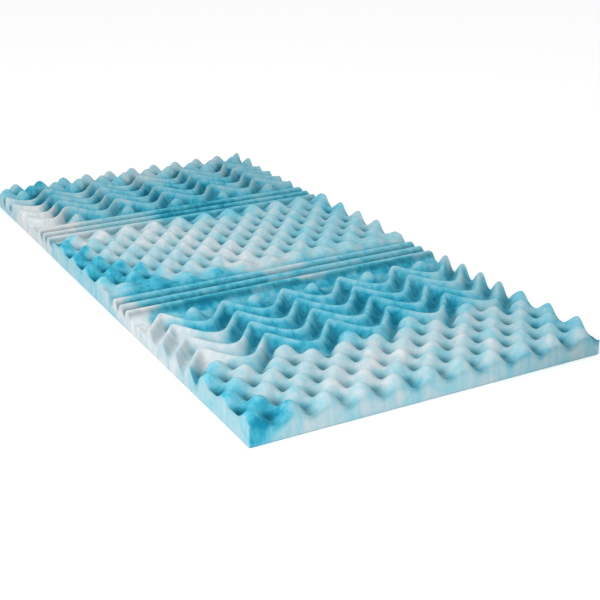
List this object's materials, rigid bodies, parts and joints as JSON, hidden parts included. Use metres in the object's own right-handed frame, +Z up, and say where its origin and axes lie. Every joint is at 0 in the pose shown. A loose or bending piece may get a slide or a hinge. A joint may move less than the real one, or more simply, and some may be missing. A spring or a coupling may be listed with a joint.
{
  "type": "mattress topper",
  "caption": "Single-bed mattress topper: a slab of convoluted gel memory foam with egg-crate fields, straight ridges and zigzag ridges on its upper face and a flat underside.",
  "frame": {"origin": "middle of the flat underside", "axes": "+X across the bed, +Y along the bed towards the end with the shorter egg-crate field, +Z up out of the patterned face"},
  "size_m": [0.9652, 2.032, 0.0762],
  "materials": {
    "foam": "soft open-cell foam, fully matte, marbled in blue, aqua and off-white"
  },
  "bodies": {
    "root": {"foam_slab": "foam"}
  },
  "joints": []
}
